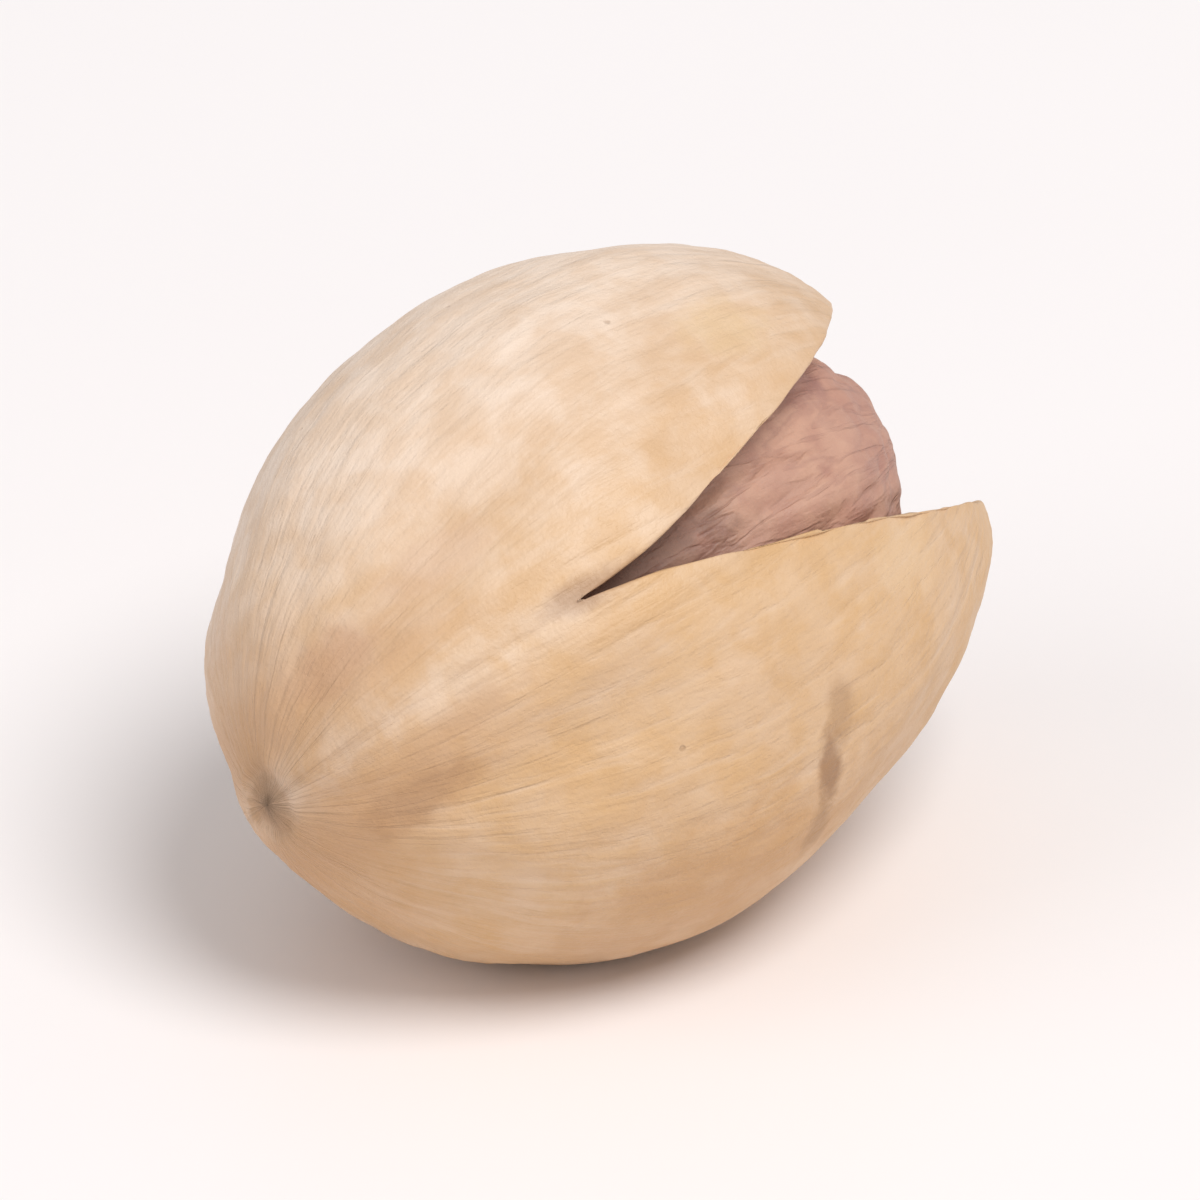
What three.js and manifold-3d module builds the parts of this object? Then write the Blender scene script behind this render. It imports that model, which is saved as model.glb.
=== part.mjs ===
// A roasted pistachio in its split shell, lying on its lower valve.
// The shell grew as one piece: two bowl-shaped valves joined round the base, split open round the tip.
// The kernel lies loose inside it and looks out of the mouth.
//
// Millimetres. The nut is shaped in its own frame, with X from the base to the tip, the suture in the
// XY plane and Z from the lower valve to the upper one. It is then tipped onto the surface at Z = 0.

import * as THREE from "three";
import { mergeVertices } from "three/addons/utils/BufferGeometryUtils.js";
import Module from "manifold-3d";

const wasm = await Module();
wasm.setup();

// The closed shell, before its mouth opens.
const shell = {
  length: 19.6, // base to tip, without the beak
  breadth: 14.0, // across the suture, from one seam to the other
  depth: 12.8, // from the back of one valve to the back of the other
  wall: 0.95,
  fullness: 0.09, // how much fuller the base half is than the tip half
  shoulder: 0.25, // how much squarer the seam is towards the tip than an egg's
  taper: 0.3, // how much slimmer the lower valve's back is there
  keel: 0.035, // how far the seam stands out, as a share of the half breadth
  keelSharpness: 22,
  beak: 0.09, // length of the pointed tip, as a share of the half length
  beakSpread: 0.4, // radians from the tip over which the beak dies away
  knob: 0.03, // the stem end, in the same way
  knobSpread: 0.3,
};

// The split that opens the mouth.
const split = {
  start: -3.1, // where the slit begins along X, half way across the nut
  slit: 0.1, // width of the slit at its start
  slant: -7, // degrees the line between the slit's two ends is turned about Z
  lean: 0.2, // how far a valve leans back towards the base as it opens
  // How far each valve's tip moves out from the closed seam, how much wider it is there, how far it
  // draws back, and how bowed its lip is.
  upper: { gape: 4.0, spread: 0.12, curl: 0.9, bow: 1.6 },
  lower: { gape: 3.1, spread: -0.1, curl: 0, bow: 1 },
  crease: 0.6, // radius of the bend at the slit's end
  ease: 5.0, // the same, up on the back of the valve
};

// The kernel, skin and all. It lies clear of the shell all round.
const kernel = {
  length: 16.8,
  breadth: 10.5, // across the suture
  depth: 9.9, // from valve to valve
  bluntness: 0.3, // how much squarer its ends are than an egg's
  fullness: -0.06, // as for the shell, so this one is fuller towards the tip
  pitch: -3, // degrees, nose down
  at: new THREE.Vector3(1.05, 0, 0.45),
};

// How the nut lies: turned about X, then about Y, and set down on a small worn flat.
const rest = { roll: -45, tip: 6.5, flatDepth: 0.4 };

const shellFacets = { around: 44, along: 30 };
const kernelFacets = { around: 28, along: 20 };

const radians = THREE.MathUtils.degToRad;
const snap = (value) => (Math.abs(value) < 1e-7 ? 0 : value);

// Moves every vertex of a geometry by a function that changes the point it is given.
function reshape(geometry, move) {
  const position = geometry.getAttribute("position");
  const point = new THREE.Vector3();
  for (let i = 0; i < position.count; i++) {
    move(point.fromBufferAttribute(position, i));
    position.setXYZ(i, snap(point.x), snap(point.y), snap(point.z));
  }
  return geometry;
}

// A closed geometry as a solid that can be joined and cut.
function solidOf(geometry) {
  const bare = geometry.clone();
  bare.deleteAttribute("normal");
  bare.deleteAttribute("uv");
  const merged = mergeVertices(bare, 1e-4);
  return new wasm.Manifold(
    new wasm.Mesh({
      numProp: 3,
      vertProperties: merged.getAttribute("position").array,
      triVerts: new Uint32Array(merged.index.array),
    }),
  );
}

function geometryOf(solid) {
  const { vertProperties, triVerts } = solid.getMesh();
  const geometry = new THREE.BufferGeometry();
  geometry.setAttribute("position", new THREE.BufferAttribute(new Float32Array(vertProperties), 3));
  geometry.setIndex(new THREE.BufferAttribute(new Uint32Array(triVerts), 1));
  geometry.computeVertexNormals();
  return geometry;
}

// A unit sphere with its poles on the X axis, ready to be shaped.
function ball(facets) {
  return new THREE.SphereGeometry(1, facets.around, facets.along).rotateZ(-Math.PI / 2);
}

// The egg shape of the closed shell, taken in by inset all round.
function shapeShell(point, inset) {
  const fromTip = Math.acos(THREE.MathUtils.clamp(point.x, -1, 1));
  const fromBase = Math.PI - fromTip;
  const girth = Math.hypot(point.y, point.z);
  const towardsSeam = girth > 0 ? Math.abs(point.y) / girth : 0;
  const beak = shell.beak * Math.exp(-fromTip / shell.beakSpread);
  const knob = shell.knob * Math.exp(-fromBase / shell.knobSpread);
  const fullness = 1 - shell.fullness * point.x;
  const tipHalf = Math.max(0, point.x) ** 2 * (1 - point.x ** 2);
  const shoulder = 1 + shell.shoulder * tipHalf;
  const taper = point.z < 0 ? 1 - shell.taper * tipHalf : 1;
  const keel = 1 + shell.keel * towardsSeam ** shell.keelSharpness;
  point.set(
    (shell.length / 2 - inset) * (point.x + beak - knob),
    (shell.breadth / 2 - inset) * point.y * fullness * shoulder * keel,
    (shell.depth / 2 - inset) * point.z * fullness * taper,
  );
}

// A ramp that is 0 well below zero and its own value well above it, with a bend of the given radius.
const ramp = (value, radius) => (value + Math.hypot(value, radius)) / 2;

// Opens the mouth. The back of each valve swings out from the base, and its seam only past the slit's
// end, so the two seams part there in a V.
function openMouth(point) {
  const side = Math.sign(point.z);
  const height = Math.abs(point.z);
  const tip = (shell.length / 2) * (1 + shell.beak);
  const flank = Math.abs(point.y) * (shell.depth / shell.breadth);
  const towardsBack = height / Math.max(Math.hypot(height, flank), 1e-9);
  const start = split.start - point.y * Math.tan(radians(split.slant));
  const valve = side > 0 ? split.upper : split.lower;
  const seam = ramp(point.x - start, split.crease + split.ease * towardsBack) / (tip - start);
  const back = (point.x + shell.length / 2) / (tip + shell.length / 2);
  const swing = THREE.MathUtils.lerp(seam ** valve.bow, back, towardsBack);
  point.x -= split.lean * height * Math.min(1, 2 * back) + valve.curl * seam ** 4;
  point.y *= 1 + valve.spread * seam ** 2;
  point.z = side * (height + valve.gape * swing);
}

// The move from the nut's own frame to how it lies on the surface.
function lyingDown() {
  const tip = new THREE.Matrix4().makeRotationY(-radians(rest.tip));
  const roll = new THREE.Matrix4().makeRotationX(radians(rest.roll));
  return tip.multiply(roll);
}

function makeShell() {
  const outside = reshape(ball(shellFacets), (point) => shapeShell(point, 0));
  const hollow = reshape(ball(shellFacets), (point) => shapeShell(point, shell.wall));
  const reach = shell.length;
  const slit = new THREE.BoxGeometry(reach, 2 * shell.breadth, split.slit);
  slit.translate(split.start + reach / 2, 0, 0);
  slit.rotateZ(radians(split.slant));
  const closed = solidOf(outside).subtract(solidOf(hollow)).subtract(solidOf(slit));
  return reshape(geometryOf(closed), openMouth).applyMatrix4(lyingDown());
}

function makeKernel() {
  const seed = reshape(ball(kernelFacets), (point) => {
    const blunt = kernel.bluntness * point.x ** 2 * (1 - point.x ** 2);
    const girth = 1 - kernel.fullness * point.x + blunt;
    point.x *= kernel.length / 2;
    point.y *= (kernel.breadth / 2) * girth;
    point.z *= (kernel.depth / 2) * girth;
  });
  seed.rotateY(-radians(kernel.pitch));
  seed.translate(kernel.at.x, kernel.at.y, kernel.at.z);
  return seed.applyMatrix4(lyingDown());
}

// Sets the shell down: its lowest part is worn to a small flat, and the whole nut moves so that the
// flat lies at Z = 0 with the middle of the nut over the origin.
function setDown(shellGeometry, kernelGeometry) {
  shellGeometry.computeBoundingBox();
  const { min, max } = shellGeometry.boundingBox;
  const block = new THREE.BoxGeometry(2 * shell.length, 2 * shell.length, shell.length);
  block.translate(0, 0, min.z + rest.flatDepth - shell.length / 2);
  const worn = geometryOf(solidOf(shellGeometry).subtract(solidOf(block)));
  const shift = [-(min.x + max.x) / 2, -(min.y + max.y) / 2, -(min.z + rest.flatDepth)];
  return [worn.translate(...shift), kernelGeometry.translate(...shift)];
}

function namedMesh(name, geometry, colour, roughness) {
  const material = new THREE.MeshStandardMaterial({ color: colour, roughness, metalness: 0 });
  const mesh = new THREE.Mesh(geometry, material);
  mesh.name = name;
  return mesh;
}

const [shellGeometry, kernelGeometry] = setDown(makeShell(), makeKernel());
const nut = new THREE.Group();
nut.add(namedMesh("shell", shellGeometry, 0xe2bd93, 0.62));
nut.add(namedMesh("kernel", kernelGeometry, 0xb07f6c, 0.7));

export default nut;
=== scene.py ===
import math
import bmesh
import bpy
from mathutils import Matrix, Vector


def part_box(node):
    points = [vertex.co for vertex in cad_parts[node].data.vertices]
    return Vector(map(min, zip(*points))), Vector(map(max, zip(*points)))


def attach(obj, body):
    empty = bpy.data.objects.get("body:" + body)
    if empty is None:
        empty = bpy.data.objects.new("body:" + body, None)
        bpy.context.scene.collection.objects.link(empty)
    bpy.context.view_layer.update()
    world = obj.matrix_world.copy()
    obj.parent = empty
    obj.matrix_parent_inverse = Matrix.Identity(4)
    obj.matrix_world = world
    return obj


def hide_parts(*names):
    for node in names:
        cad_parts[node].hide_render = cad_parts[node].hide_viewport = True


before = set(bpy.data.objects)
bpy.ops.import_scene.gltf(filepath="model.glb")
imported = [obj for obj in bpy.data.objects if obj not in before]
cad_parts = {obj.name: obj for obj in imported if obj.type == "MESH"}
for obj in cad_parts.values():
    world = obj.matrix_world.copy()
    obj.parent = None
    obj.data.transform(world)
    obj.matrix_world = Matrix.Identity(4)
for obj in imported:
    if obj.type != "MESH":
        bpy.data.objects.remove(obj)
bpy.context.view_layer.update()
mm = 0.001

# How the nut lies: rolled about its length, then lifted at the tip. Both pieces are modelled level, with X
# from the stem end to the tip and the seam in the XY plane, and are laid down last.
lie = {"roll": -45, "tip": -6.5, "wornFlat": 0.4}
lieTurn = (math.radians(lie["roll"]), math.radians(lie["tip"]), 0)
seamSlack = 1e-6  # how close to the XY plane counts as the seam, in metres


def pickOnly(thing):
    bpy.ops.object.select_all(action="DESELECT")
    thing.select_set(True)
    bpy.context.view_layer.objects.active = thing


def startEdit(thing, kind="VERT"):
    pickOnly(thing)
    bpy.ops.object.mode_set(mode="EDIT")
    bpy.ops.mesh.select_mode(type=kind)
    bpy.ops.mesh.select_all(action="DESELECT")


def endEdit():
    bpy.ops.object.mode_set(mode="OBJECT")


# Selects the vertices, edges or faces that pass a test, and nothing else.
def choose(thing, kind, test):
    mesh = bmesh.from_edit_mesh(thing.data)
    for part in {"VERT": mesh.verts, "EDGE": mesh.edges, "FACE": mesh.faces}[kind]:
        part.select = bool(test(part))
    mesh.select_flush_mode()
    bmesh.update_edit_mesh(thing.data)


def chooseVerts(thing, test):
    choose(thing, "VERT", test)


def groupVerts(thing, name, weightOf):
    group = thing.vertex_groups.new(name=name)
    for vert in thing.data.vertices:
        weight = float(weightOf(vert))
        if weight > 0:
            group.add([vert.index], weight, "REPLACE")
    return group.name


def applyModifier(thing, modifier):
    pickOnly(thing)
    bpy.ops.object.modifier_apply(modifier=modifier.name)


def mergeAndTurnOut(thing):  # merges doubles and points the normals outwards
    startEdit(thing)
    bpy.ops.mesh.select_all(action="SELECT")
    bpy.ops.mesh.remove_doubles(threshold=0.001 * mm)
    bpy.ops.mesh.normals_make_consistent(inside=False)
    endEdit()


def smoothOut(thing, levels):
    smooth = thing.modifiers.new("smooth", "SUBSURF")
    smooth.levels = levels
    smooth.render_levels = levels
    applyModifier(thing, smooth)


# A round blank with its poles on the X axis, which is the length of the nut.
def addBlank(name, size):
    bpy.ops.object.select_all(action="DESELECT")
    bpy.ops.mesh.primitive_uv_sphere_add(
        segments=size["around"], ring_count=size["along"], radius=size["length"] / 2 * mm
    )
    blank = bpy.context.object
    blank.name = name
    blank.data.name = name
    blank.rotation_euler = (0, math.radians(90), 0)
    bpy.ops.object.transform_apply(location=False, rotation=True, scale=False)
    return blank


def ringsOf(blank):  # vertex numbers ring by ring, from the tip to the stem end
    rings = {}
    for vert in blank.data.vertices:
        rings.setdefault(round(vert.co.x, 7), []).append(vert.index)
    return [(x, set(rings[x])) for x in sorted(rings, reverse=True)]


# Lumps, dents and wrinkles pushed into a finished mesh. Stretch is how much longer they are along the nut than
# across it, and level is how much of the height goes inwards. Vertices in the keepOff group stay as they are.
def roughen(thing, name, look, keepOff=None):
    texture = bpy.data.textures.new(name, type="CLOUDS")
    texture.noise_scale = look["size"] * mm
    texture.noise_depth = look["depth"]
    texture.noise_type = "HARD_NOISE" if look.get("hard") else "SOFT_NOISE"
    guide = bpy.data.objects.new(name + "Guide", None)
    bpy.context.scene.collection.objects.link(guide)
    guide.scale = (look.get("stretch", 1), 1, 1)
    bpy.context.view_layer.update()
    modifier = thing.modifiers.new(name, "DISPLACE")
    modifier.texture = texture
    modifier.texture_coords = "OBJECT"
    modifier.texture_coords_object = guide
    modifier.mid_level = look.get("level", 0.5)
    modifier.strength = look["height"] * mm
    if keepOff:
        modifier.vertex_group = keepOff
        modifier.invert_vertex_group = True
    applyModifier(thing, modifier)
    bpy.data.objects.remove(guide)
    bpy.data.textures.remove(texture)


# Lays a piece down as the nut lies: roll, tip, and the move that sets the shell down on the surface.
def layDown(piece, move=None):
    pickOnly(piece)
    piece.rotation_euler = lieTurn
    bpy.ops.object.transform_apply(location=False, rotation=True, scale=False)
    if move is None:
        low = Vector([min(vert.co[i] for vert in piece.data.vertices) for i in range(3)])
        high = Vector([max(vert.co[i] for vert in piece.data.vertices) for i in range(3)])
        cadLow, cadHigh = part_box("shell")
        move = (Vector(cadLow) + Vector(cadHigh) - low - high) / 2
        move.z = -low.z - lie["wornFlat"] * mm
    startEdit(piece)
    bpy.ops.mesh.select_all(action="SELECT")
    bpy.ops.transform.translate(value=move)
    endEdit()
    return move


# What touches the surface is worn to a small flat.
def wearFlat(piece):
    startEdit(piece)
    chooseVerts(piece, lambda vert: vert.co.z < 0)
    bpy.ops.transform.resize(value=(1, 1, 0), center_override=(0, 0, 0))
    endEdit()


# The shell, shaped closed from one blank and then split round the tip. Lengths are in millimetres.
shellSize = {
    "length": 19.6, "breadth": 14.0, "depth": 12.8,
    "around": 60, "along": 38,
    "fullness": 0.09, "shoulder": 0.25, "taper": 0.28,
    "beak": 0.09, "beakSpread": 0.4, "knob": 0.03, "knobSpread": 0.3,
    "keel": 0.035, "keelSharpness": 22,
    # how far the shell falls in on both sides of the keel towards the stem end, how that is shared out over
    # the columns of vertices beside the keel, and over the places along the nut where it sets in
    "hollow": 0.06,
    "hollowColumns": ((2, 0.1), (3, 0.45), (4, 0.9), (5, 1), (6, 0.65), (7, 0.25)),
    "hollowStarts": ((-1.5, 0.35), (-3.0, 0.35), (-4.5, 0.3)),
    "scarReach": 0.3, "scarRim": 0.15, "scarRimHeight": 0.02, "scarPit": 0.2, "scarDepth": 0.15,
    # the wall thins to the lipWall share at the lips, and is back to its full thickness over lipRows
    "wall": 0.95, "lipWall": 0.6, "lipRows": (0, 0.35, 0.7, 0.92),
    "rim": 0.13, "rimAngle": 50,
    # the share by which the groove is cut in, and its bands: from, to, how much of the depth
    "groove": 0.007, "grooveBands": ((0, 0.1, 1), (0.1, 0.27, 0.35)),
}
# The mouth: where the slit starts, how far that line is turned, how far a valve leans back as it opens, and
# the bend at the slit's corner, on the lip and up on the back.
mouth = {
    "start": -3.1, "slant": -7, "lean": 0.2, "crease": 0.6, "ease": 5.0,
    "upperValve": {"side": 1, "gape": 4.1, "spread": 0.12, "curl": 0.9, "bow": 1.4, "hook": 0.1},
    "lowerValve": {"side": -1, "gape": 3.1, "spread": -0.14, "curl": -0.6, "bow": 1.0, "hook": 0.65},
}


def shapeShell():
    size = shellSize
    half = size["length"] / 2
    shell = addBlank("shell_outer", size)
    startEdit(shell)
    for x, ring in ringsOf(shell):
        along = max(-1, min(1, x / (half * mm)))
        fromTip = math.acos(along)
        push = size["beak"] * math.exp(-fromTip / size["beakSpread"])
        push -= size["knob"] * math.exp(-(math.pi - fromTip) / size["knobSpread"])
        tipHalf = max(0, along) ** 2 * (1 - along ** 2)
        girth = 1 - size["fullness"] * along
        wide = size["breadth"] / size["length"] * girth * (1 + size["shoulder"] * tipHalf)
        deep = size["depth"] / size["length"] * girth
        chooseVerts(shell, lambda vert: vert.index in ring)
        bpy.ops.transform.resize(value=(1, wide, deep), center_override=(0, 0, 0))
        bpy.ops.transform.translate(value=(push * half * mm, 0, 0))
        # the lower valve is slimmer towards the tip
        if tipHalf > 0 and len(ring) > 1:
            chooseVerts(shell, lambda vert: vert.index in ring and vert.co.z < -seamSlack)
            bpy.ops.transform.resize(value=(1, 1, 1 - size["taper"] * tipHalf), center_override=(0, 0, 0))
    endEdit()
    raiseKeel(shell)
    return shell


# The seam stands out all round as a low keel, with a hollow on each side of it at the stem end.
def raiseKeel(shell):
    size = shellSize
    turn = 360 / size["around"]
    keelColumns = 5  # from the seam up, past which the keel has died away
    flat = size["depth"] / size["breadth"]
    columns = {}
    for vert in shell.data.vertices:
        angle = math.degrees(math.atan2(abs(vert.co.z), abs(vert.co.y) * flat))
        columns.setdefault(round(angle / turn), set()).add(vert.index)
    startEdit(shell)
    for step in range(keelColumns):
        out = size["keel"] * math.cos(math.radians(step * turn)) ** size["keelSharpness"]
        chooseVerts(shell, lambda vert: vert.index in columns[step])
        bpy.ops.transform.resize(value=(1, 1 + out, 1), center_override=(0, 0, 0))
    for step, share in size["hollowColumns"]:
        for start, part in size["hollowStarts"]:
            chooseVerts(shell, lambda vert: vert.index in columns[step] and vert.co.x < start * mm)
            inwards = 1 - size["hollow"] * share * part
            bpy.ops.transform.resize(value=(1, inwards, inwards), center_override=(0, 0, 0))
    endEdit()


def slitStart(y):
    return mouth["start"] * mm - y * math.tan(math.radians(mouth["slant"]))


def isSeam(place):
    return abs(place.z) < seamSlack


# The seam is cut from a corner on each side round the tip, so the two lips can part.
def cutMouth(shell):
    early = 0.4 * mm  # the cut starts this far before the lips begin to part
    startEdit(shell, "EDGE")
    choose(shell, "EDGE", lambda edge: all(
        isSeam(vert.co) and vert.co.x > slitStart(vert.co.y) - early for vert in edge.verts
    ))
    bpy.ops.mesh.edge_split(type="EDGE")
    endEdit()
    mesh = bmesh.new()
    mesh.from_mesh(shell.data)
    for name in ("upperValve", "lowerValve"):
        side = mouth[name]["side"]
        own = {vert.index for vert in mesh.verts
               if all(side * face.calc_center_median().z > 0 for face in vert.link_faces)}
        groupVerts(shell, name, lambda vert: vert.index in own)
    mesh.free()


def bend(value, radius):  # 0 well below zero, the value itself well above it
    return (value + math.hypot(value, radius)) / 2


# Each valve swings open inside its own lattice: its lip from the slit's corner, its back from the stem end.
# Curl draws the tip back, and hook turns the very end of it towards the other valve.
def swingValve(shell, name):
    valve = mouth[name]
    side = valve["side"]
    half = shellSize["length"] / 2 * mm
    tip = half * (1 + shellSize["beak"])
    height = shellSize["depth"] / 2 * mm
    bpy.ops.object.select_all(action="DESELECT")
    bpy.ops.object.add(type="LATTICE", location=(0, 0, side * height / 2))
    cage = bpy.context.object
    cage.scale = (2.4 * half, 2.4 * half, height)
    cage.data.points_u = 48
    cage.data.points_v = 2
    cage.data.points_w = 2
    cage.data.interpolation_type_u = "KEY_LINEAR"
    cage.data.interpolation_type_v = "KEY_LINEAR"
    cage.data.interpolation_type_w = "KEY_LINEAR"
    bpy.context.view_layer.update()
    toWorld = cage.matrix_world.copy()
    for point in cage.data.points:
        place = toWorld @ point.co
        onBack = abs(place.z) > height / 2
        start = slitStart(place.y)
        radius = (mouth["crease"] + (mouth["ease"] if onBack else 0)) * mm
        lip = bend(place.x - start, radius) / (tip - start)
        back = max(0, (place.x + half) / (tip + half))
        swing = back if onBack else lip ** valve["bow"]
        place.x -= valve["curl"] * mm * lip ** 4
        place.y *= 1 + valve["spread"] * lip ** 2
        place.z += side * (valve["gape"] * swing - valve["hook"] * lip ** 8) * mm
        if onBack:
            place.x -= mouth["lean"] * height * min(1, 2 * back)
        point.co_deform = toWorld.inverted() @ place
    modifier = shell.modifiers.new("swing", "LATTICE")
    modifier.object = cage
    modifier.vertex_group = name
    applyModifier(shell, modifier)
    bpy.data.objects.remove(cage)


# The stem scar: a shallow round pit with a low rim, at the end away from the mouth.
def pressScar(shell):
    size = shellSize
    pole = min(vert.co.x for vert in shell.data.vertices)
    startEdit(shell, "FACE")
    choose(shell, "FACE", lambda face: face.calc_center_median().x < pole + size["scarReach"] * mm)
    bpy.ops.mesh.inset(thickness=size["scarRim"] * mm, depth=size["scarRimHeight"] * mm)
    bpy.ops.mesh.inset(thickness=size["scarPit"] * mm, depth=-size["scarDepth"] * mm)
    endEdit()


def rowsFromLip(shell, count):  # vertex numbers of the lip, then of each row further from it
    mesh = bmesh.new()
    mesh.from_mesh(shell.data)
    row = {vert for vert in mesh.verts if vert.is_boundary}
    seen = set(row)
    rows = [{vert.index for vert in row}]
    for step in range(count):
        row = {other for vert in row for edge in vert.link_edges for other in edge.verts} - seen
        seen |= row
        rows.append({vert.index for vert in row})
    mesh.free()
    return rows


# The wall goes on inside the shaped surface, and its lips are rounded.
def thickenShell(shell):
    size = shellSize
    mergeAndTurnOut(shell)
    rows = rowsFromLip(shell, len(size["lipRows"]) - 1)
    weights = {index: weight for row, weight in zip(rows, size["lipRows"]) for index in row}
    wall = shell.modifiers.new("wall", "SOLIDIFY")
    wall.thickness = size["wall"] * mm
    wall.offset = -1
    wall.use_even_offset = True
    wall.use_quality_normals = True
    wall.vertex_group = groupVerts(shell, "fullWall", lambda vert: weights.get(vert.index, 1))
    wall.thickness_vertex_group = size["lipWall"]
    wall.material_offset = 1
    wall.material_offset_rim = 2
    wall.shell_vertex_group = shell.vertex_groups.new(name="inside").name
    wall.rim_vertex_group = shell.vertex_groups.new(name="lips").name
    applyModifier(shell, wall)
    edge = shell.modifiers.new("edge", "BEVEL")
    edge.width = size["rim"] * mm
    edge.segments = 2
    edge.limit_method = "ANGLE"
    edge.angle_limit = math.radians(size["rimAngle"])
    applyModifier(shell, edge)
    smoothOut(shell, 2)


def insideOf(shell):  # vertex numbers of the inner face of the wall
    group = shell.vertex_groups["inside"].index
    return {
        vert.index for vert in shell.data.vertices
        if any(held.group == group and held.weight > 0.3 for held in vert.groups)
    }


# A fine groove runs along the keel where the two valves are still joined.
def cutGroove(shell):
    inside = insideOf(shell)
    gap = 0.2 * mm  # left between the groove and the mouth's corner
    startEdit(shell)
    for low, high, share in shellSize["grooveBands"]:
        chooseVerts(shell, lambda vert: vert.index not in inside and low * mm <= abs(vert.co.z) < high * mm
                    and vert.co.x < slitStart(vert.co.y) - gap)
        inwards = 1 - shellSize["groove"] * share
        bpy.ops.transform.resize(value=(1, inwards, 1), center_override=(0, 0, 0))
    endEdit()


# Sizes and heights in millimetres.
shellSurface = {
    "swell": {"size": 4.2, "height": 0.42, "depth": 1, "stretch": 1.4},
    "dents": {"size": 1.5, "height": 0.15, "depth": 2, "stretch": 2.0},
    "veins": {"size": 0.5, "height": 0.075, "depth": 2, "stretch": 7},
}


# The kernel, skin and all. It lies clear of the shell all round.
kernelSize = {
    "length": 17.2, "breadth": 11.2, "depth": 10.7, "around": 40, "along": 28,
    "fullness": -0.07, "bluntness": 0.3, "pitch": -1, "at": (1.05, 0, 0.6),
    "cleft": 0.02,
}


def shapeKernel():
    size = kernelSize
    half = size["length"] / 2
    kernel = addBlank("kernel_seed", size)
    startEdit(kernel)
    for x, ring in ringsOf(kernel):
        along = max(-1, min(1, x / (half * mm)))
        girth = 1 - size["fullness"] * along + size["bluntness"] * along ** 2 * (1 - along ** 2)
        chooseVerts(kernel, lambda vert: vert.index in ring)
        bpy.ops.transform.resize(
            value=(1, size["breadth"] / size["length"] * girth, size["depth"] / size["length"] * girth),
            center_override=(0, 0, 0),
        )
    # the two seed leaves meet in a faint cleft down each side
    chooseVerts(kernel, lambda vert: isSeam(vert.co))
    inwards = 1 - size["cleft"]
    bpy.ops.transform.resize(value=(1, inwards, 1), center_override=(0, 0, 0))
    endEdit()
    kernel.rotation_euler = (0, math.radians(-size["pitch"]), 0)
    kernel.location = [value * mm for value in size["at"]]
    pickOnly(kernel)
    bpy.ops.object.transform_apply(location=True, rotation=True, scale=False)
    mergeAndTurnOut(kernel)
    smoothOut(kernel, 3)
    return kernel


kernelSurface = {
    "lumps": {"size": 3.2, "height": 0.45, "depth": 1, "stretch": 1.5, "level": 0.75},
    "wrinkles": {"size": 1.3, "height": 0.28, "depth": 1, "stretch": 3.0, "level": 0.8, "hard": True},
    "creases": {"size": 0.45, "height": 0.06, "depth": 2, "stretch": 2.0, "level": 0.6},
}

shell = shapeShell()
cutMouth(shell)
swingValve(shell, "upperValve")
swingValve(shell, "lowerValve")
pressScar(shell)
print("shell shaped and split")
thickenShell(shell)
cutGroove(shell)
for name, look in shellSurface.items():
    roughen(shell, name, look, "inside")
shellMove = layDown(shell)
wearFlat(shell)
print("shell thickened, roughened and laid down")

kernel = shapeKernel()
for name, look in kernelSurface.items():
    roughen(kernel, name, look)
layDown(kernel, shellMove)
print("kernel shaped and laid down")


# Nodes. A value given to these may be a number, a colour or another node's output.
def feed(tree, socket, value):
    if isinstance(value, bpy.types.NodeSocket):
        tree.links.new(value, socket)
    elif socket.type == "RGBA":
        socket.default_value = (*value[:3], 1)
    else:
        socket.default_value = value


def calc(tree, operation, *values):
    node = tree.nodes.new("ShaderNodeMath")
    node.operation = operation
    for socket, value in zip(node.inputs, values):
        feed(tree, socket, value)
    return node.outputs[0]


def vectorCalc(tree, operation, *values):
    node = tree.nodes.new("ShaderNodeVectorMath")
    node.operation = operation
    for socket, value in zip(node.inputs, values):
        feed(tree, socket, value)
    return node.outputs["Value"] if operation == "LENGTH" else node.outputs["Vector"]


def fade(tree, value, low, high):  # 0 at low, 1 at high, eased between
    node = tree.nodes.new("ShaderNodeMapRange")
    node.interpolation_type = "SMOOTHSTEP"
    feed(tree, node.inputs["Value"], value)
    feed(tree, node.inputs["From Min"], low)
    feed(tree, node.inputs["From Max"], high)
    return node.outputs["Result"]


def tint(tree, amount, under, over):
    node = tree.nodes.new("ShaderNodeMix")
    node.data_type = "RGBA"
    feed(tree, node.inputs[0], amount)
    feed(tree, node.inputs[6], under)
    feed(tree, node.inputs[7], over)
    return node.outputs[2]


# One colour over another where the mask is, at the given strength.
def coat(tree, under, over, mask, strength):
    return tint(tree, calc(tree, "MULTIPLY", mask, strength), under, over)


def noiseAt(tree, place, scale, detail=2.0, rough=0.5, twist=0.0):
    node = tree.nodes.new("ShaderNodeTexNoise")
    feed(tree, node.inputs["Vector"], place)
    feed(tree, node.inputs["Scale"], scale)
    feed(tree, node.inputs["Detail"], detail)
    feed(tree, node.inputs["Roughness"], rough)
    feed(tree, node.inputs["Distortion"], twist)
    return node.outputs["Fac"]


def newGroup(name, takes, gives):
    group = bpy.data.node_groups.new(name, "ShaderNodeTree")
    for label, kind, value in takes:
        socket = group.interface.new_socket(name=label, in_out="INPUT", socket_type=kind)
        if value is not None:
            socket.default_value = value
    for label in gives:
        group.interface.new_socket(name=label, in_out="OUTPUT", socket_type="NodeSocketFloat")
    return group, group.nodes.new("NodeGroupInput").outputs, group.nodes.new("NodeGroupOutput").inputs


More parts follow.
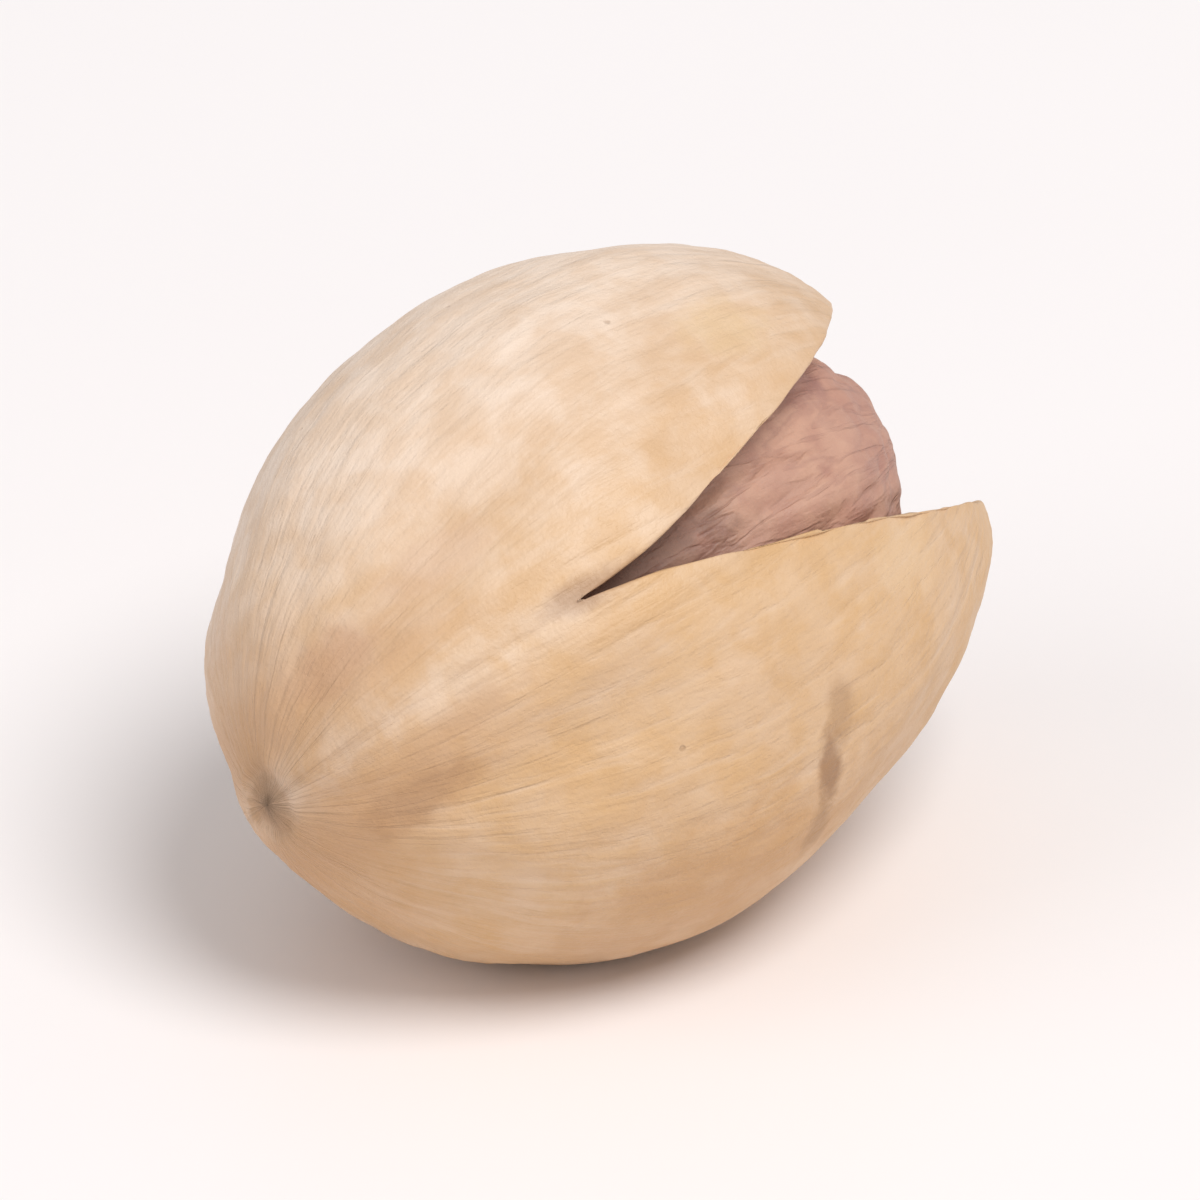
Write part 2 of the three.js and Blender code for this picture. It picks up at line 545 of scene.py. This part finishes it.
# Soft patches of about the given size, in millimetres. Cover is how much of the surface they take.
def makeBlotches():
    group, takes, gives = newGroup("blotches", [
        ("Place", "NodeSocketVector", None),
        ("Size", "NodeSocketFloat", 3.0),
        ("Cover", "NodeSocketFloat", 0.5),
        ("Softness", "NodeSocketFloat", 0.12),
        ("Shift", "NodeSocketFloat", 0.0),
    ], ["Mask"])
    shifted = vectorCalc(group, "ADD", takes["Place"], takes["Shift"])
    noise = noiseAt(group, shifted, calc(group, "DIVIDE", 1, takes["Size"]), 4, 0.55, 0.3)
    edge = calc(group, "SUBTRACT", 1, takes["Cover"])
    edge = calc(group, "MULTIPLY_ADD", edge, 0.5, 0.25)
    low = calc(group, "SUBTRACT", edge, takes["Softness"])
    high = calc(group, "ADD", edge, takes["Softness"])
    group.links.new(fade(group, noise, low, high), gives["Mask"])
    return group


# Fine lines that run from the stem end to the tip and draw together at both, like the fibres in the shell.
def makeFibres():
    group, takes, gives = newGroup("fibres", [
        ("Place", "NodeSocketVector", None),
        ("Width", "NodeSocketFloat", 0.5),
        ("Stretch", "NodeSocketFloat", 8.0),
        ("Shift", "NodeSocketFloat", 0.0),
    ], ["Height", "Lines"])
    split = group.nodes.new("ShaderNodeSeparateXYZ")
    feed(group, split.inputs[0], takes["Place"])
    across = vectorCalc(group, "MULTIPLY", takes["Place"], (0, 1, 1))
    around = vectorCalc(group, "MULTIPLY", vectorCalc(group, "NORMALIZE", across), (6, 6, 6))
    lengthwise = group.nodes.new("ShaderNodeCombineXYZ")
    feed(group, lengthwise.inputs[0], calc(group, "DIVIDE", split.outputs[0], takes["Stretch"]))
    along = vectorCalc(group, "ADD", around, lengthwise.outputs[0])
    along = vectorCalc(group, "ADD", along, takes["Shift"])
    noise = noiseAt(group, along, calc(group, "DIVIDE", 1, takes["Width"]), 3, 0.55, 0.4)
    offMiddle = calc(group, "ABSOLUTE", calc(group, "SUBTRACT", noise, 0.5))
    group.links.new(noise, gives["Height"])
    group.links.new(fade(group, offMiddle, 0.07, 0.0), gives["Lines"])
    return group


# One soft patch at a given place, ragged at its edge: used for stains, for patches of skin colour and for
# patches of painted shade.
def makeStainOrShade():
    group, takes, gives = newGroup("stainOrShade", [
        ("Place", "NodeSocketVector", None),
        ("Centre", "NodeSocketVector", (0, 0, 0)),
        ("Reach", "NodeSocketVector", (1, 1, 1)),
        ("Ragged", "NodeSocketFloat", 0.6),
    ], ["Mask"])
    off = vectorCalc(group, "SUBTRACT", takes["Place"], takes["Centre"])
    far = vectorCalc(group, "LENGTH", vectorCalc(group, "DIVIDE", off, takes["Reach"]))
    wander = calc(group, "SUBTRACT", noiseAt(group, takes["Place"], 1.1, 5, 0.6, 0.5), 0.5)
    far = calc(group, "MULTIPLY_ADD", wander, calc(group, "MULTIPLY", takes["Ragged"], 2.2), far)
    group.links.new(fade(group, far, 1.15, 0.35), gives["Mask"])
    return group


# Small scattered dots. Share is how many of the possible dots are there.
def makeSpecks():
    group, takes, gives = newGroup("specks", [
        ("Place", "NodeSocketVector", None),
        ("Spacing", "NodeSocketFloat", 1.0),
        ("Size", "NodeSocketFloat", 0.1),
        ("Share", "NodeSocketFloat", 0.4),
    ], ["Mask"])
    dots = group.nodes.new("ShaderNodeTexVoronoi")
    feed(group, dots.inputs["Vector"], takes["Place"])
    feed(group, dots.inputs["Scale"], calc(group, "DIVIDE", 1, takes["Spacing"]))
    far = calc(group, "MULTIPLY", dots.outputs["Distance"], takes["Spacing"])
    uneven = calc(group, "MULTIPLY_ADD", noiseAt(group, takes["Place"], 6, 2), 0.12, -0.06)
    core = calc(group, "MULTIPLY", takes["Size"], 0.4)
    dot = fade(group, calc(group, "ADD", far, uneven), takes["Size"], core)
    chance = group.nodes.new("ShaderNodeSeparateColor")
    feed(group, chance.inputs[0], dots.outputs["Color"])
    there = calc(group, "GREATER_THAN", takes["Share"], chance.outputs[0])
    group.links.new(calc(group, "MULTIPLY", dot, there), gives["Mask"])
    return group


# The fine tooth of a dry surface.
def makeGrain():
    group, takes, gives = newGroup("grain", [
        ("Place", "NodeSocketVector", None),
        ("Size", "NodeSocketFloat", 0.15),
    ], ["Height"])
    noise = noiseAt(group, takes["Place"], calc(group, "DIVIDE", 1, takes["Size"]), 3, 0.6)
    group.links.new(noise, gives["Height"])
    return group


effects = {
    "blotches": makeBlotches(), "fibres": makeFibres(), "stainOrShade": makeStainOrShade(),
    "specks": makeSpecks(), "grain": makeGrain(),
}


def use(tree, effect, place, output, **values):
    node = tree.nodes.new("ShaderNodeGroup")
    node.node_tree = effects[effect]
    node.label = effect
    feed(tree, node.inputs["Place"], place)
    for name, value in values.items():
        feed(tree, node.inputs[name[0].upper() + name[1:]], value)
    return node.outputs[output]


def newMaterial(name):
    material = bpy.data.materials.new(name)
    material.use_nodes = True
    return material, material.node_tree, material.node_tree.nodes["Principled BSDF"]


# Turns the object's coordinates back to the level nut, in millimetres.
def placeOnNut(tree):
    where = tree.nodes.new("ShaderNodeTexCoord")
    level = tree.nodes.new("ShaderNodeMapping")
    level.vector_type = "TEXTURE"
    level.inputs["Location"].default_value = shellMove
    level.inputs["Rotation"].default_value = lieTurn
    level.inputs["Scale"].default_value = (mm, mm, mm)
    tree.links.new(where.outputs["Object"], level.inputs["Vector"])
    return level.outputs["Vector"]


def addBump(tree, shader, height, strength):  # height is in millimetres
    bump = tree.nodes.new("ShaderNodeBump")
    bump.inputs["Distance"].default_value = mm
    bump.inputs["Strength"].default_value = strength
    feed(tree, bump.inputs["Height"], height)
    tree.links.new(bump.outputs["Normal"], shader.inputs["Normal"])


# Outside of the shell: cream, mottled with tan, browner at the stem end and along the seam's groove; painted
# light on the top and on the seam's ridge, and painted shade underneath, in the hollows beside the seam and at
# the mouth's corner.
outsideLook = {
    "cream": (0.76, 0.55, 0.39), "pale": (0.87, 0.71, 0.59), "tan": (0.64, 0.42, 0.26),
    # the peach colour is painted shade, for the shaded underside
    "paintedShadePeach": (0.68, 0.42, 0.205), "fibre": (0.56, 0.36, 0.21), "speck": (0.34, 0.19, 0.10),
    "seam": (0.42, 0.24, 0.12), "stemEnd": (0.57, 0.32, 0.165), "scar": (0.46, 0.28, 0.17),
    "tip": (0.72, 0.46, 0.24),
    # over what height the painted shade below gives way to painted light above, from where up the top is
    # painted paler still, and where along the nut the ends turn browner, in millimetres
    "paintedLightFade": (-2.0, 5.5), "paintedTopLightFade": (3.0, 7.5), "stemFade": (-6.6, -9.6), "tipFade": (8.2, 11.0),
    # how strongly each tint shows
    "tanPatches": 0.5, "paintedTopLight": 0.35, "lines": 0.12, "darkThreads": 0.16, "paleThreads": 0.18,
    "stemTint": 0.5, "tipTint": 0.55, "hollowShadeTint": 0.4, "seamTint": 0.35, "scarTint": 0.6, "specks": 0.4,
    "stainsAndShade": [
        # centre, reach, colour, strength
        # painted shade in the shallow hollow above the keel, near the stem end
        ((-8.3, -3.2, 1.9), (1.6, 1.5, 0.9), (0.56, 0.33, 0.21), 0.55),
        ((-5.8, -5.3, 2.6), (2.0, 1.4, 0.8), (0.66, 0.43, 0.29), 0.4),
        ((-8.3, -3.2, -1.9), (1.9, 1.9, 0.6), (0.40, 0.22, 0.11), 0.6),
        # painted shade in the hollow below the keel, near the stem end
        ((-7.0, -4.9, -0.8), (2.2, 1.6, 0.6), (0.58, 0.36, 0.21), 0.5),
        # painted shade in the corner of the mouth, where the lips part
        ((-3.6, -7.0, 0.1), (1.6, 1.0, 0.5), (0.40, 0.23, 0.13), 0.75),
        ((-1.0, -2.0, -6.6), (5.0, 3.0, 2.2), (0.58, 0.32, 0.14), 0.6),
        ((1.7, -5.2, -5.3), (0.55, 1.3, 1.2), (0.44, 0.25, 0.12), 0.6),
        ((1.2, -4.2, -6.4), (0.50, 1.6, 1.3), (0.34, 0.18, 0.09), 0.8),
        ((1.0, -2.6, -7.3), (0.50, 1.6, 1.0), (0.42, 0.24, 0.12), 0.6),
        ((5.5, -5.3, -2.9), (1.8, 1.1, 1.2), (0.80, 0.58, 0.38), 0.5),
        ((3.9, -5.6, 3.8), (1.5, 1.4, 1.2), (0.74, 0.52, 0.29), 0.5),
        ((7.4, -2.6, 3.6), (1.3, 1.5, 1.2), (0.70, 0.45, 0.24), 0.5),
        ((-2.5, 6.0, 3.0), (2.6, 1.6, 1.8), (0.58, 0.37, 0.22), 0.5),
        ((-6.5, 3.6, -3.4), (2.2, 1.8, 1.0), (0.46, 0.27, 0.14), 0.55),
        ((3.8, 4.6, -4.6), (2.4, 1.5, 1.6), (0.62, 0.38, 0.20), 0.5),
        ((0.5, 1.5, 7.6), (3.0, 1.6, 1.6), (0.66, 0.44, 0.27), 0.45),
        ((4.6, 5.0, 4.6), (0.5, 1.6, 1.2), (0.40, 0.23, 0.12), 0.5),
        ((-4.2, -0.6, -6.6), (2.4, 2.0, 1.6), (0.60, 0.38, 0.22), 0.5),
    ],
}


def makeOutside():
    look = outsideLook
    material, tree, shader = newMaterial("shellOutside")
    place = placeOnNut(tree)
    split = tree.nodes.new("ShaderNodeSeparateXYZ")
    feed(tree, split.inputs[0], place)
    along, across, height = split.outputs[0], split.outputs[1], split.outputs[2]

    broad = use(tree, "blotches", place, "Mask", size=4.5, cover=0.45, softness=0.2)
    fine = use(tree, "blotches", place, "Mask", size=1.3, cover=0.5, softness=0.2, shift=7.0)
    lines = use(tree, "fibres", place, "Lines", width=0.9, stretch=9.0)
    threads = use(tree, "fibres", place, "Height", width=0.35, stretch=7.0, shift=3.0)
    specks = use(tree, "specks", place, "Mask", spacing=1.5, size=0.11, share=0.16)
    grain = use(tree, "grain", place, "Height", size=0.12)

    # painted light and shade: creamier towards the top, as if lit, and darker, warmer peach towards the
    # bottom, as if shaded
    paintedLightByHeight = fade(tree, calc(tree, "MULTIPLY_ADD", broad, -2.5, height), *look["paintedLightFade"])
    colour = tint(tree, paintedLightByHeight, look["paintedShadePeach"], look["cream"])
    colour = coat(tree, colour, look["tan"], broad, look["tanPatches"])
    # pale blotches, more of them where the shell is painted lit, and then painted light across the top
    paleBlotchesAndTopLight = calc(tree, "MULTIPLY_ADD", paintedLightByHeight, look["paintedTopLight"], 0.25)
    paleBlotchesAndTopLight = calc(tree, "MULTIPLY", paleBlotchesAndTopLight, fine)
    paleBlotchesAndTopLight = calc(tree, "MULTIPLY_ADD", fade(tree, height, *look["paintedTopLightFade"]), look["paintedTopLight"], paleBlotchesAndTopLight)
    colour = tint(tree, paleBlotchesAndTopLight, colour, look["pale"])
    colour = coat(tree, colour, look["fibre"], lines, look["lines"])
    colour = coat(tree, colour, look["fibre"], fade(tree, threads, 0.5, 0.75), look["darkThreads"])
    colour = coat(tree, colour, look["pale"], fade(tree, threads, 0.5, 0.25), look["paleThreads"])

    # both ends are browner
    wander = calc(tree, "MULTIPLY_ADD", broad, 1.2, along)
    colour = coat(tree, colour, look["stemEnd"], fade(tree, wander, *look["stemFade"]), look["stemTint"])
    colour = coat(tree, colour, look["tip"], fade(tree, wander, *look["tipFade"]), look["tipTint"])
    # real stains, and patches of painted shade beside the keel and in the mouth's corner
    for centre, reach, stainOrShadeColour, strength in look["stainsAndShade"]:
        mask = use(tree, "stainOrShade", place, "Mask", centre=centre, reach=reach)
        colour = coat(tree, colour, stainOrShadeColour, mask, strength)

    # where the valves are still joined, the seam's groove is darker; its ridge is painted paler as painted
    # highlight, and the hollows beside it browner as painted shade
    fromSeam = calc(tree, "ABSOLUTE", height)
    slope = math.tan(math.radians(mouth["slant"]))
    joined = fade(tree, calc(tree, "MULTIPLY_ADD", across, slope, along), -2.6, -3.4)
    seamLine = fade(tree, calc(tree, "MULTIPLY_ADD", fine, 0.12, fromSeam), 0.3, 0.05)
    seamLine = calc(tree, "MULTIPLY", seamLine, joined)
    ridgeHighlight = calc(tree, "MULTIPLY", fade(tree, fromSeam, 1.0, 0.1), joined)
    hollowShade = fade(tree, calc(tree, "ABSOLUTE", calc(tree, "SUBTRACT", fromSeam, 1.6)), 1.4, 0.2)
    hollowShade = calc(tree, "MULTIPLY", hollowShade, fade(tree, wander, -4.0, -7.5))
    colour = coat(tree, colour, look["stemEnd"], hollowShade, look["hollowShadeTint"])
    colour = coat(tree, colour, look["pale"], ridgeHighlight, calc(tree, "MULTIPLY_ADD", fine, 0.3, 0.05))
    colour = coat(tree, colour, look["seam"], seamLine, calc(tree, "MULTIPLY", broad, look["seamTint"]))

    stemPole = (-10.1, 0, 0)
    fromPole = vectorCalc(tree, "LENGTH", vectorCalc(tree, "SUBTRACT", place, stemPole))
    scar = fade(tree, calc(tree, "MULTIPLY_ADD", fine, 0.5, fromPole), 1.4, 0.7)
    colour = coat(tree, colour, look["scar"], scar, look["scarTint"])
    colour = coat(tree, colour, look["speck"], specks, look["specks"])
    feed(tree, shader.inputs["Base Color"], colour)

    roughness = calc(tree, "MULTIPLY_ADD", broad, 0.12, 0.4)
    roughness = calc(tree, "MULTIPLY_ADD", grain, 0.08, roughness)
    feed(tree, shader.inputs["Roughness"], calc(tree, "MULTIPLY_ADD", scar, 0.3, roughness))
    shader.inputs["Specular IOR Level"].default_value = 0.4
    relief = calc(tree, "MULTIPLY", threads, 0.1)
    relief = calc(tree, "MULTIPLY_ADD", grain, 0.03, relief)
    relief = calc(tree, "MULTIPLY_ADD", specks, -0.02, relief)
    addBump(tree, shader, relief, 1.0)
    return material


# Inside of the shell: smoother and yellower, with a faint print of the kernel's skin.
insideLook = {"ivory": (0.72, 0.52, 0.30), "ochre": (0.52, 0.31, 0.12), "print": (0.34, 0.18, 0.10)}


def makeInside():
    look = insideLook
    material, tree, shader = newMaterial("shellInside")
    place = placeOnNut(tree)
    broad = use(tree, "blotches", place, "Mask", size=3.5, cover=0.5, softness=0.2, shift=11.0)
    flecks = use(tree, "blotches", place, "Mask", size=0.8, cover=0.25, softness=0.08, shift=4.0)
    threads = use(tree, "fibres", place, "Height", width=0.5, stretch=6.0, shift=5.0)
    grain = use(tree, "grain", place, "Height", size=0.2)
    colour = coat(tree, look["ivory"], look["ochre"], broad, 0.6)
    colour = coat(tree, colour, look["ochre"], fade(tree, threads, 0.5, 0.75), 0.35)
    colour = coat(tree, colour, look["print"], flecks, 0.35)
    feed(tree, shader.inputs["Base Color"], colour)
    feed(tree, shader.inputs["Roughness"], calc(tree, "MULTIPLY_ADD", broad, 0.15, 0.38))
    relief = calc(tree, "MULTIPLY_ADD", grain, 0.01, calc(tree, "MULTIPLY", threads, 0.03))
    addBump(tree, shader, relief, 0.6)
    return material


# The lips: bare split shell, paler than the outside, with a tan core.
lipLook = {"pale": (0.86, 0.70, 0.52), "core": (0.66, 0.45, 0.26), "dirt": (0.36, 0.20, 0.11)}


def makeLip():
    look = lipLook
    material, tree, shader = newMaterial("shellLip")
    place = placeOnNut(tree)
    patches = use(tree, "blotches", place, "Mask", size=1.2, cover=0.45, softness=0.15, shift=2.0)
    dirt = use(tree, "blotches", place, "Mask", size=0.5, cover=0.25, softness=0.08, shift=9.0)
    grain = use(tree, "grain", place, "Height", size=0.1)
    colour = coat(tree, look["pale"], look["core"], patches, 0.6)
    colour = coat(tree, colour, look["dirt"], dirt, 0.35)
    feed(tree, shader.inputs["Base Color"], colour)
    feed(tree, shader.inputs["Roughness"], calc(tree, "MULTIPLY_ADD", grain, 0.15, 0.52))
    addBump(tree, shader, calc(tree, "MULTIPLY", grain, 0.03), 0.8)
    return material


# Skin of the kernel: rosy mauve with purple patches and veins, green and ochre where it lay in the shell, with
# painted shade by the mouth's corner and under the upper lip.
skinLook = {
    "rose": (0.62, 0.36, 0.26), "mauve": (0.46, 0.23, 0.18), "purple": (0.25, 0.105, 0.10),
    "dust": (0.66, 0.43, 0.33), "green": (0.34, 0.31, 0.09), "ochre": (0.56, 0.34, 0.12),
    # the darkest colour, for the real flecks and for painted shade by the mouth's corner
    "fleckAndShadeDark": (0.16, 0.07, 0.05),
    "patches": [
        # centre, reach, colour name, strength
        ((-1.5, 4.6, 2.0), (3.4, 2.6, 2.4), "green", 0.85),
        ((3.2, 4.8, -1.8), (3.0, 1.8, 2.4), "ochre", 0.8),
        ((6.2, 3.2, 1.4), (1.8, 2.0, 1.6), "purple", 0.75),
        ((8.4, 0.6, 0.2), (1.8, 1.6, 2.4), "green", 0.7),
        ((3.0, 0.0, 5.0), (4.0, 2.6, 1.8), "ochre", 0.6),
        ((-3.0, -3.4, -3.2), (3.4, 2.2, 2.0), "green", 0.7),
        ((5.0, 1.0, -4.6), (3.0, 2.6, 1.8), "ochre", 0.7),
        ((0.5, 4.8, -1.0), (1.8, 1.4, 1.4), "purple", 0.6),
        # painted shade on the kernel in the gap by the mouth's corner
        ((-0.3, -5.0, -0.2), (2.8, 1.6, 1.6), "fleckAndShadeDark", 0.55),
        # purple of the skin, deepened by painted shadow from the upper lip
        ((5.0, -4.4, 2.2), (2.8, 1.8, 0.9), "purple", 0.65),
        ((8.0, -2.6, 0.0), (2.4, 2.4, 2.6), "mauve", 0.6),
    ],
}


def makeSkin():
    look = skinLook
    material, tree, shader = newMaterial("kernelSkin")
    place = placeOnNut(tree)
    broad = use(tree, "blotches", place, "Mask", size=2.6, cover=0.4, softness=0.12)
    fine = use(tree, "blotches", place, "Mask", size=0.9, cover=0.4, softness=0.12, shift=6.0)
    dust = use(tree, "blotches", place, "Mask", size=1.5, cover=0.5, softness=0.2, shift=13.0)
    veins = use(tree, "fibres", place, "Lines", width=0.8, stretch=3.5)
    threads = use(tree, "fibres", place, "Height", width=0.4, stretch=4.0, shift=2.0)
    flecks = use(tree, "specks", place, "Mask", spacing=0.9, size=0.14, share=0.35)
    grain = use(tree, "grain", place, "Height", size=0.1)
    colour = coat(tree, look["rose"], look["mauve"], broad, 0.6)
    for centre, reach, name, strength in look["patches"]:
        mask = use(tree, "stainOrShade", place, "Mask", centre=centre, reach=reach, ragged=1.0)
        colour = coat(tree, colour, look[name], mask, strength)
    colour = coat(tree, colour, look["mauve"], fine, 0.4)
    colour = coat(tree, colour, look["purple"], veins, 0.22)
    colour = coat(tree, colour, look["dust"], dust, 0.28)
    colour = coat(tree, colour, look["fleckAndShadeDark"], flecks, 0.5)
    feed(tree, shader.inputs["Base Color"], colour)
    feed(tree, shader.inputs["Roughness"], calc(tree, "MULTIPLY_ADD", dust, 0.15, 0.48))
    relief = calc(tree, "MULTIPLY_ADD", grain, 0.02, calc(tree, "MULTIPLY", threads, 0.06))
    relief = calc(tree, "MULTIPLY_ADD", veins, -0.02, relief)
    addBump(tree, shader, relief, 0.9)
    return material


for material in (makeOutside(), makeInside(), makeLip()):
    shell.data.materials.append(material)
kernel.data.materials.append(makeSkin())
for piece, node in ((shell, "shell"), (kernel, "kernel")):
    pickOnly(piece)
    bpy.ops.object.shade_smooth()
    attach(piece, "root")
    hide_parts(node)
print("materials on, faces:", len(shell.data.polygons), len(kernel.data.polygons))

# The floor, the lights and the camera.
studio = {"azimuth": -42, "elevation": 30, "distance": 0.40, "lens": 500, "look": (0, 0, 7.4)}
floorLook = {"white": (0.93, 0.895, 0.90), "shade": (0.91, 0.87, 0.875)}


def aim(thing, target):
    thing.rotation_euler = (Vector(target) - thing.location).to_track_quat("-Z", "Y").to_euler()


def addFloor():
    bpy.ops.object.select_all(action="DESELECT")
    bpy.ops.mesh.primitive_plane_add(size=3)
    floor = bpy.context.object
    floor.name = "floor"
    material, tree, shader = newMaterial("floorWhite")
    where = tree.nodes.new("ShaderNodeTexCoord")
    soft = noiseAt(tree, where.outputs["Object"], 40, 2)
    feed(tree, shader.inputs["Base Color"], tint(tree, soft, floorLook["white"], floorLook["shade"]))
    shader.inputs["Roughness"].default_value = 0.4
    floor.data.materials.append(material)


def addSoftbox(name, azimuth, elevation, distance, size, power, colour):
    light = bpy.data.lights.new(name, "AREA")
    light.shape = "DISK"
    light.size = size
    light.energy = power
    light.color = colour
    lamp = bpy.data.objects.new(name, light)
    bpy.context.scene.collection.objects.link(lamp)
    turn, rise = math.radians(azimuth), math.radians(elevation)
    lamp.location = (
        distance * math.sin(turn) * math.cos(rise),
        -distance * math.cos(turn) * math.cos(rise),
        distance * math.sin(rise),
    )
    aim(lamp, (0, 0, 0.007))


def addCamera():
    lens = bpy.data.cameras.new("camera")
    lens.lens = studio["lens"]
    lens.clip_start = 0.01
    lens.clip_end = 20
    camera = bpy.data.objects.new("camera", lens)
    bpy.context.scene.collection.objects.link(camera)
    turn, rise = math.radians(studio["azimuth"]), math.radians(studio["elevation"])
    look = Vector(studio["look"]) * mm
    camera.location = look + studio["distance"] * Vector(
        (math.sin(turn) * math.cos(rise), -math.cos(turn) * math.cos(rise), math.sin(rise))
    )
    aim(camera, look)
    bpy.context.scene.camera = camera


addFloor()
addSoftbox("key", 5, 62, 0.9, 0.5, 5.7, (1, 0.985, 0.965))
addSoftbox("fill", -110, 35, 0.9, 0.7, 1.6, (0.97, 0.98, 1))
world = bpy.data.worlds.new("room")
world.use_nodes = True
world.node_tree.nodes["Background"].inputs["Color"].default_value = (1, 1, 1, 1)
world.node_tree.nodes["Background"].inputs["Strength"].default_value = 0.45
bpy.context.scene.world = world
bpy.context.scene.view_settings.view_transform = "Standard"
addCamera()
print("floor, lights and camera in place")
